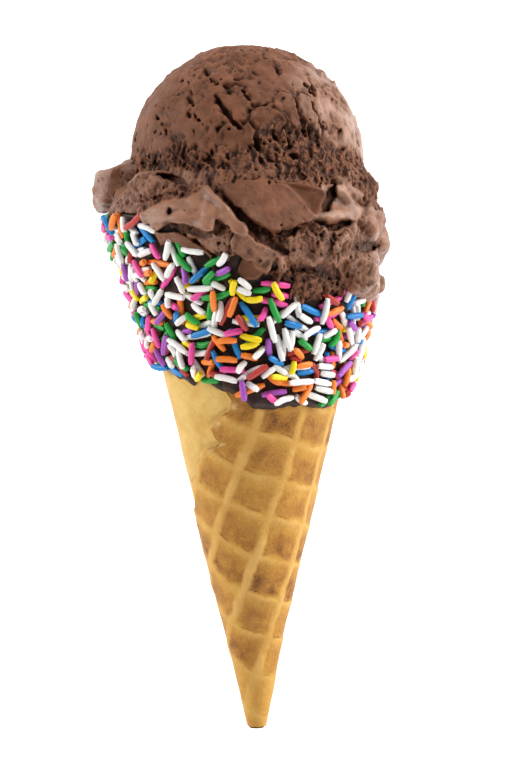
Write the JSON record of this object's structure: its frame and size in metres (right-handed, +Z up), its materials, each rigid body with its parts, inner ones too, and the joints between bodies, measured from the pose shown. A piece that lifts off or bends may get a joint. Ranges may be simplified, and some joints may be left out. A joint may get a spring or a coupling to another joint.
{
  "type": "ice cream cone",
  "caption": "Large scoop of chocolate ice cream pressed over the rim of a rolled waffle cone, whose upper part is dipped in dark chocolate and coated in coloured sprinkles; it lies on its side.",
  "frame": {"origin": "middle of the flat spot that the skirt of ice cream rests on, on the surface it lies on", "axes": "+Z up, +Y from the cone's tip towards the scoop, +X to the right seen from above with the scoop away from the viewer; the cone's own axis rises 15.8 degrees from the surface"},
  "size_m": [0.0873, 0.1998, 0.0861],
  "materials": {
    "waffle": "baked waffle, golden brown in its cells and paler on its ridges and border, dry and matte",
    "dark_chocolate": "set dark chocolate, smooth with a soft shine, under sprinkles",
    "ice_cream": "chocolate ice cream, wet sheen where the scoop scraped it, rough where it tore",
    "sprinkles": "glazed sugar rods in white, pink, orange, yellow, green, blue, purple and brick red"
  },
  "bodies": {
    "root": {"waffle_cone": "waffle", "chocolate_dip": "dark_chocolate", "ice_cream": "ice_cream"}
  },
  "joints": []
}
